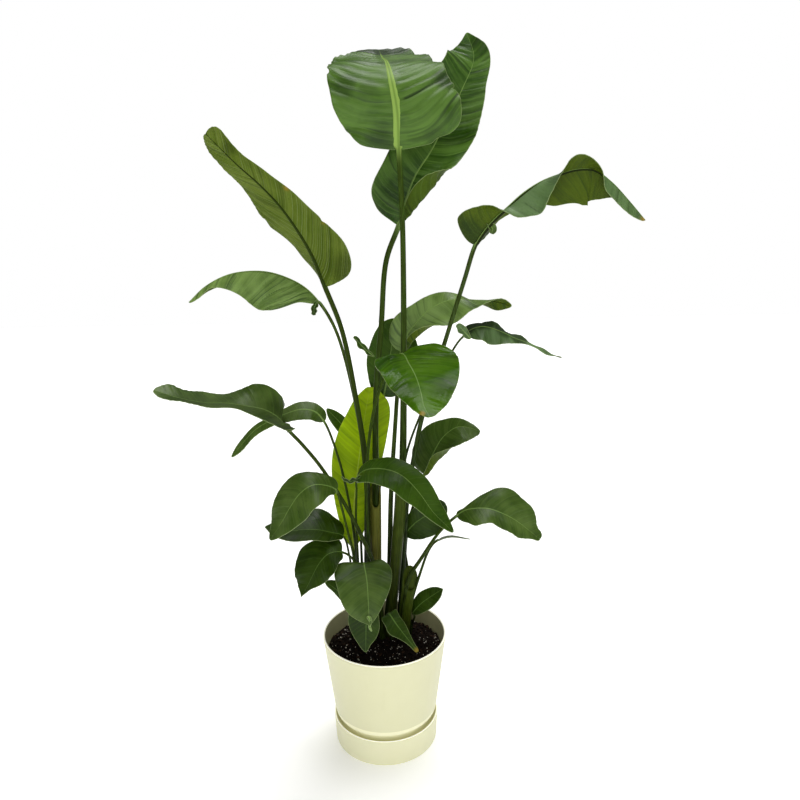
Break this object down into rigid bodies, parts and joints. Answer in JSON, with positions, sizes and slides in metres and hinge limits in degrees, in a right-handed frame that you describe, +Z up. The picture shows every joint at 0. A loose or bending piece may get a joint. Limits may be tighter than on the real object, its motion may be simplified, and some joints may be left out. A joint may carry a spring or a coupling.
{
  "type": "potted bird of paradise",
  "caption": "House plant with broad ribbed leaves on long stalks, rising from dark soil in a tapered cream plastic pot that stands in its round saucer.",
  "frame": {"origin": "centre of the saucer's flat underside", "axes": "+Z up, -Y towards the front of the plant, +X to the right seen from the front"},
  "size_m": [0.8477, 0.3556, 1.3483],
  "materials": {
    "pot": "cream, satin, faint mould marks and a bright rim",
    "saucer": "cream, satin, a shade darker than the pot",
    "soil": "dark moist crumbs with white perlite grains",
    "leaf": "deep green, waxy, feathered side veins, paler midrib and underside",
    "young_leaf": "lime green, thin and soft"
  },
  "bodies": {
    "root": {"pot": "pot", "saucer": "saucer", "soil": "soil", "leaf_top_front": "leaf", "leaf_top_back": "leaf", "leaf_upper_left": "leaf", "leaf_left_arch": "leaf", "leaf_upper_right": "leaf", "leaf_behind_right": "leaf", "leaf_small_right": "leaf", "leaf_heart": "leaf", "leaf_behind_left": "leaf", "leaf_young": "young_leaf", "leaf_mid_left": "leaf", "leaf_mid_left_back": "leaf", "leaf_back_left": "leaf", "leaf_centre_arch": "leaf", "leaf_low_left_upper": "leaf", "leaf_low_left_middle": "leaf", "leaf_low_left_lower": "leaf", "leaf_low_small": "leaf", "leaf_low_front": "leaf", "leaf_soil_left": "leaf", "leaf_soil_right": "leaf", "leaf_low_right": "leaf", "leaf_mid_right": "leaf", "leaf_low_behind_right": "leaf", "leaf_right": "leaf", "leaf_right_narrow": "leaf"}
  },
  "joints": []
}
